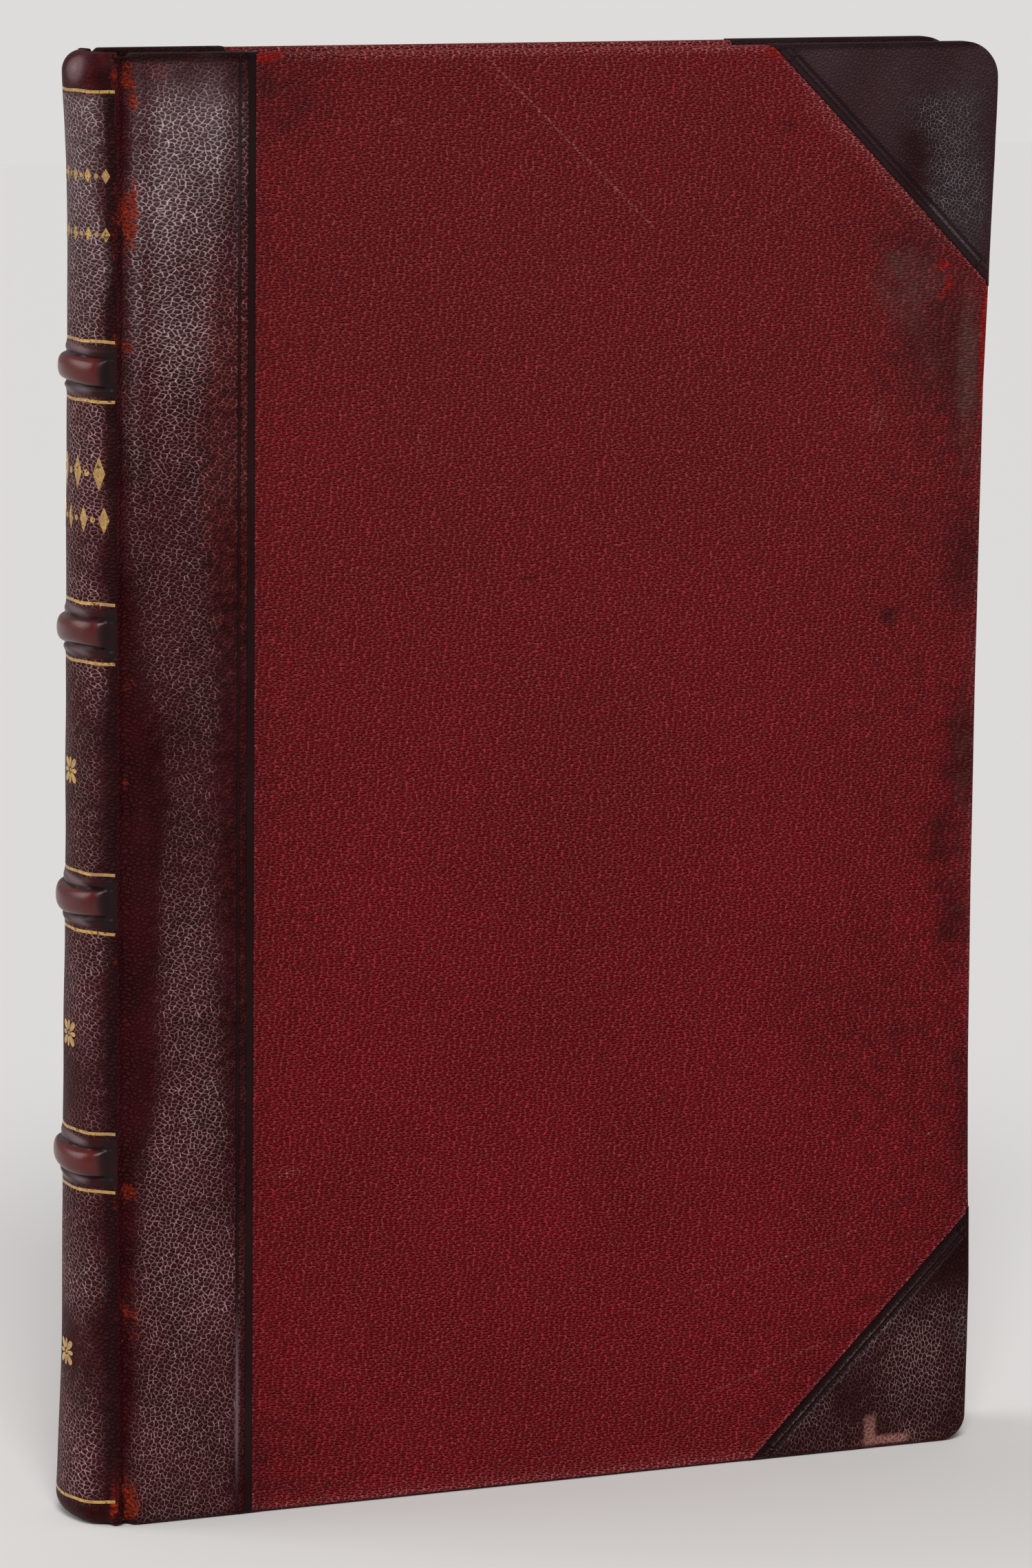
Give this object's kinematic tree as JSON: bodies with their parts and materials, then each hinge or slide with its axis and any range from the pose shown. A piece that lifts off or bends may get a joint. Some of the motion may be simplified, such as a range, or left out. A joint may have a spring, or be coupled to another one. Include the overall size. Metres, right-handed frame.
{
  "type": "half-leather book",
  "caption": "Old half-leather book with raised bands, cloth sides and leather corners, whose two covers swing open on their joints.",
  "frame": {"origin": "middle of the book's footprint, on the surface it stands on", "axes": "+X from the spine to the fore-edge, +Y from the front cover to the back cover, +Z from tail to head"},
  "size_m": [0.1666, 0.02, 0.25],
  "materials": {
    "pages": "matte, toned page edges",
    "endpaper": "matte",
    "hemp_cord": "matte",
    "gauze": "matte",
    "kraft_paper": "matte",
    "card": "matte",
    "silk": "satin, striped",
    "leather": "grained, rubbed, semi-gloss",
    "gold": "worn gold leaf",
    "millboard": "matte",
    "book_cloth": "pebble-grained cloth"
  },
  "bodies": {
    "book": {"text_block": "pages", "front_flyleaf": "endpaper", "back_flyleaf": "endpaper", "sewing_cord_1": "hemp_cord", "sewing_cord_2": "hemp_cord", "sewing_cord_3": "hemp_cord", "sewing_cord_4": "hemp_cord", "spine_mull": "gauze", "hollow_tube": "kraft_paper", "spine_inlay": "card", "raised_band_1": "card", "raised_band_2": "card", "raised_band_3": "card", "raised_band_4": "card", "head_band": "silk", "tail_band": "silk", "spine_leather": "leather", "gilt_lines": "gold", "gilt_rosettes": "gold"},
    "front_cover": {"front_board": "millboard", "front_pastedown": "endpaper", "front_leather_strip": "leather", "front_head_corner": "leather", "front_tail_corner": "leather", "front_cloth_side": "book_cloth"},
    "back_cover": {"back_board": "millboard", "back_pastedown": "endpaper", "back_leather_strip": "leather", "back_head_corner": "leather", "back_tail_corner": "leather", "back_cloth_side": "book_cloth"}
  },
  "joints": [
    {"name": "front_joint", "type": "hinge", "parent": "book", "child": "front_cover", "pos_m": [-0.0766, -0.01, 0.125], "axis": [0, 0, -1], "range_deg": [0, 180]},
    {"name": "back_joint", "type": "hinge", "parent": "book", "child": "back_cover", "pos_m": [-0.0766, 0.01, 0.125], "axis": [0, 0, 1], "range_deg": [0, 180]}
  ]
}
